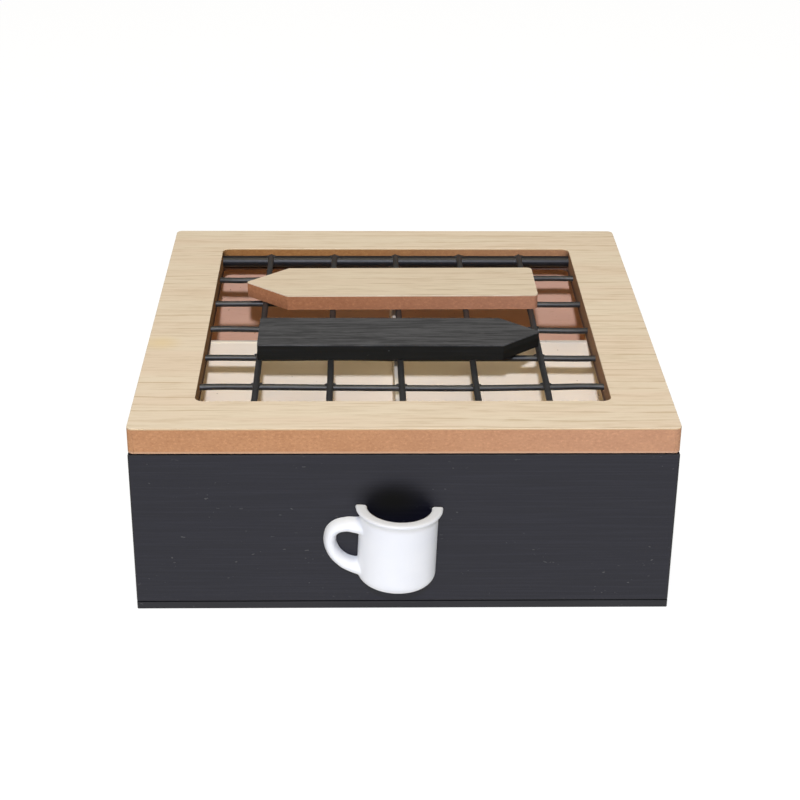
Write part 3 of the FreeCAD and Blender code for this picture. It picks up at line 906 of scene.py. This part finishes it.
def make_mug():
    """Joins shell, lip and handle to one skin, smooths it and sets it on the drawer front."""
    whole = bmesh.new()
    for part in (mug_shell(), mug_lip(), mug_handle()):
        join_part(whole, part)
    raw = bpy.data.objects.new("mug_raw", mesh_from(whole, "mug_raw"))
    bpy.context.scene.collection.objects.link(raw)
    skin = raw.modifiers.new("skin", "REMESH")
    skin.mode = "VOXEL"
    skin.voxel_size = MUG_VOXEL
    smooth = raw.modifiers.new("smooth", "SMOOTH")
    smooth.factor = MUG_SMOOTHING_SHARE
    smooth.iterations = MUG_SMOOTHING
    graph = bpy.context.evaluated_depsgraph_get()
    mesh = bpy.data.meshes.new_from_object(raw.evaluated_get(graph))
    bpy.data.objects.remove(raw)
    bm = bmesh.new()
    bm.from_mesh(mesh)
    # Faces in the hollow below the lip get the second material, painted shade for the cup's inside
    for face in bm.faces:
        face.material_index = 1 if inside_cup(face.calc_center_median()) else 0
    tilt = Matrix.Rotation(MUG_TILT, 3, "Y")
    bmesh.ops.rotate(bm, verts=bm.verts[:], cent=(0, 0, 0), matrix=tilt)
    bmesh.ops.translate(bm, verts=bm.verts[:], vec=MUG_CENTRE)
    for vert in bm.verts:
        vert.co.y = min(vert.co.y, MUG_CENTRE.y)
    add_piece("half_mug", mesh_from(bm, "half_mug"), [WHITE_GLAZE, CUP_PAINTED_SHADE], "drawer",
              ["mug_pull"])


# Dressing the whole object

def dress_boards():
    ease_board("top_frame", LID_EASE, [LID_BOARD, WINDOW_CUT_SHADED, WINDOW_SIDE_CUT_SHADED], window_material)
    dress("top_veneer", LID_VENEER)
    ease_board("pale_sign_board", SIGN_EASE, [SIGN_BOARD])
    ease_board("pale_sign_veneer", SIGN_EASE, [SIGN_VENEER])
    ease_board("dark_sign_board", SIGN_EASE, [SIGN_PAINT, PAINT_EDGE])
    ease_board("dark_sign_veneer", SIGN_EASE, [STAINED_VENEER, STAINED_EDGE])
    ease_board("drawer_front", BOARD_EASE, [FRONT_PAINT, PAINT_EDGE, CREAM_BOARD], front_material,
               refill=True)
    for node in ("case_side_left", "case_side_right", "case_back", "case_base"):
        ease_board(node, BOARD_EASE, [BLACK_PAINT, PAINT_EDGE])
    for node in ("drawer_side_left", "drawer_side_right"):
        ease_board(node, BOARD_EASE, [SIDE_BOARD])
    ease_board("drawer_back", BOARD_EASE, [ROSE_BOARD])
    for node in ("divider_cross", "divider_long"):
        ease_board(node, DIVIDER_EASE, [CREAM_BOARD])
    dress("drawer_bottom", BOTTOM_BOARD)


def dress_metal():
    for node in ("grid_bar_front", "grid_bar_back"):
        dress(node, BAR_ENAMEL_SHADED)
    for node in ("case_brads", "drawer_brads", "mug_screws"):
        dress(node, STEEL)
    dress("sign_glue_beads", CLEAR_GLUE)


# Stage

def seen_rays(tree, kinds):
    """1 for camera rays and for the other kinds named, 0 for the rest."""
    path = tree.nodes.new("ShaderNodeLightPath")
    total = path.outputs["Is Camera Ray"]
    for name in kinds:
        joined = tree.nodes.new("ShaderNodeMath")
        joined.operation = "MAXIMUM"
        tree.links.new(total, joined.inputs[0])
        tree.links.new(path.outputs[name], joined.inputs[1])
        total = joined.outputs[0]
    return total


def grey_shader(tree, grey):
    made = tree.nodes.new("ShaderNodeBsdfDiffuse")
    made.inputs["Color"].default_value = (grey, grey, grey, 1.0)
    return made.outputs[0]


def joined_shader(tree, kind, first, second, share=None):
    """Adds or mixes two shaders. share, when given, is how much the second one has of the mix."""
    made = tree.nodes.new(kind)
    tree.links.new(first, made.inputs[-2])
    tree.links.new(second, made.inputs[-1])
    if share is not None:
        tree.links.new(share, made.inputs["Fac"])
    return made.outputs[0]


def make_floor():
    """A white floor that is clear from below, so that the base can be looked at.

    The camera sees it white. As a surface that lights the object it is plain grey.
    """
    bm = bmesh.new()
    bmesh.ops.create_grid(bm, x_segments=1, y_segments=1, size=FLOOR_SIZE / 2)
    bmesh.ops.translate(bm, verts=bm.verts[:], vec=(0, 0, frame_low.z - FLOOR_DROP))
    floor = bpy.data.objects.new("floor", mesh_from(bm, "floor"))
    bpy.context.scene.collection.objects.link(floor)
    material = bpy.data.materials.new("pale_floor")
    material.use_nodes = True
    tree = material.node_tree
    tree.nodes.clear()
    glow = tree.nodes.new("ShaderNodeEmission")
    glow.inputs["Strength"].default_value = FLOOR_GLOW
    white = joined_shader(tree, "ShaderNodeAddShader", grey_shader(tree, FLOOR_SHADE),
                          glow.outputs[0])
    seen = seen_rays(tree, ["Is Glossy Ray", "Is Transmission Ray"])
    upper = joined_shader(tree, "ShaderNodeMixShader", grey_shader(tree, FLOOR_GREY), white, seen)
    clear = tree.nodes.new("ShaderNodeBsdfTransparent")
    side = tree.nodes.new("ShaderNodeNewGeometry")
    whole = joined_shader(tree, "ShaderNodeMixShader", upper, clear.outputs[0],
                          side.outputs["Backfacing"])
    output = tree.nodes.new("ShaderNodeOutputMaterial")
    tree.links.new(whole, output.inputs["Surface"])
    floor.data.materials.append(material)


def make_sky():
    world = bpy.data.worlds.new("studio")
    bpy.context.scene.world = world
    world.use_nodes = True
    tree = world.node_tree
    background = tree.nodes["Background"]
    background.inputs["Color"].default_value = (1.0, 1.0, 1.0, 1.0)
    level = tree.nodes.new("ShaderNodeMapRange")
    tree.links.new(seen_rays(tree, ["Is Transmission Ray"]), level.inputs["Value"])
    level.inputs["To Min"].default_value = SKY_LEVEL
    level.inputs["To Max"].default_value = 1.0
    tree.links.new(level.outputs["Result"], background.inputs["Strength"])


def make_lamp(name, place, diameter, level, colour):
    """A round lamp aimed at the lid, without fall-off, so that front and back are lit alike."""
    data = bpy.data.lights.new(name, "AREA")
    data.shape = "DISK"
    data.size = diameter
    data.energy = LAMP_ENERGY * level
    data.color = colour
    data.use_nodes = True
    tree = data.node_tree
    falloff = tree.nodes.new("ShaderNodeLightFalloff")
    falloff.inputs["Strength"].default_value = 1.0
    tree.links.new(falloff.outputs["Constant"], tree.nodes["Emission"].inputs["Strength"])
    lamp = bpy.data.objects.new(name, data)
    bpy.context.scene.collection.objects.link(lamp)
    lid_middle = Vector((0.0, 0.0, frame_high.z))
    aim = (lid_middle - place).to_track_quat("-Z", "Y")
    lamp.matrix_world = Matrix.Translation(place) @ aim.to_matrix().to_4x4()


def make_camera():
    data = bpy.data.cameras.new("camera")
    data.sensor_width = CAMERA_SENSOR
    data.lens = CAMERA_LENS
    data.clip_end = CAMERA_REACH
    camera = bpy.data.objects.new("camera", data)
    bpy.context.scene.collection.objects.link(camera)
    ahead = Vector((math.sin(CAMERA_YAW) * math.cos(CAMERA_PITCH),
                    math.cos(CAMERA_YAW) * math.cos(CAMERA_PITCH), -math.sin(CAMERA_PITCH)))
    level_right = Vector((math.cos(CAMERA_YAW), -math.sin(CAMERA_YAW), 0.0))
    level_up = level_right.cross(ahead)
    right = level_right * math.cos(CAMERA_ROLL) + level_up * math.sin(CAMERA_ROLL)
    up = right.cross(ahead)
    turn = Matrix((right, up, -ahead)).transposed().to_4x4()
    camera.matrix_world = Matrix.Translation(CAMERA_PLACE) @ turn
    bpy.context.scene.camera = camera


dress_boards()
dress_metal()
make_grid()
make_mug()
make_floor()
make_sky()
for lamp in LAMPS:
    make_lamp(*lamp)
make_camera()
bpy.context.scene.view_settings.view_transform = "Standard"
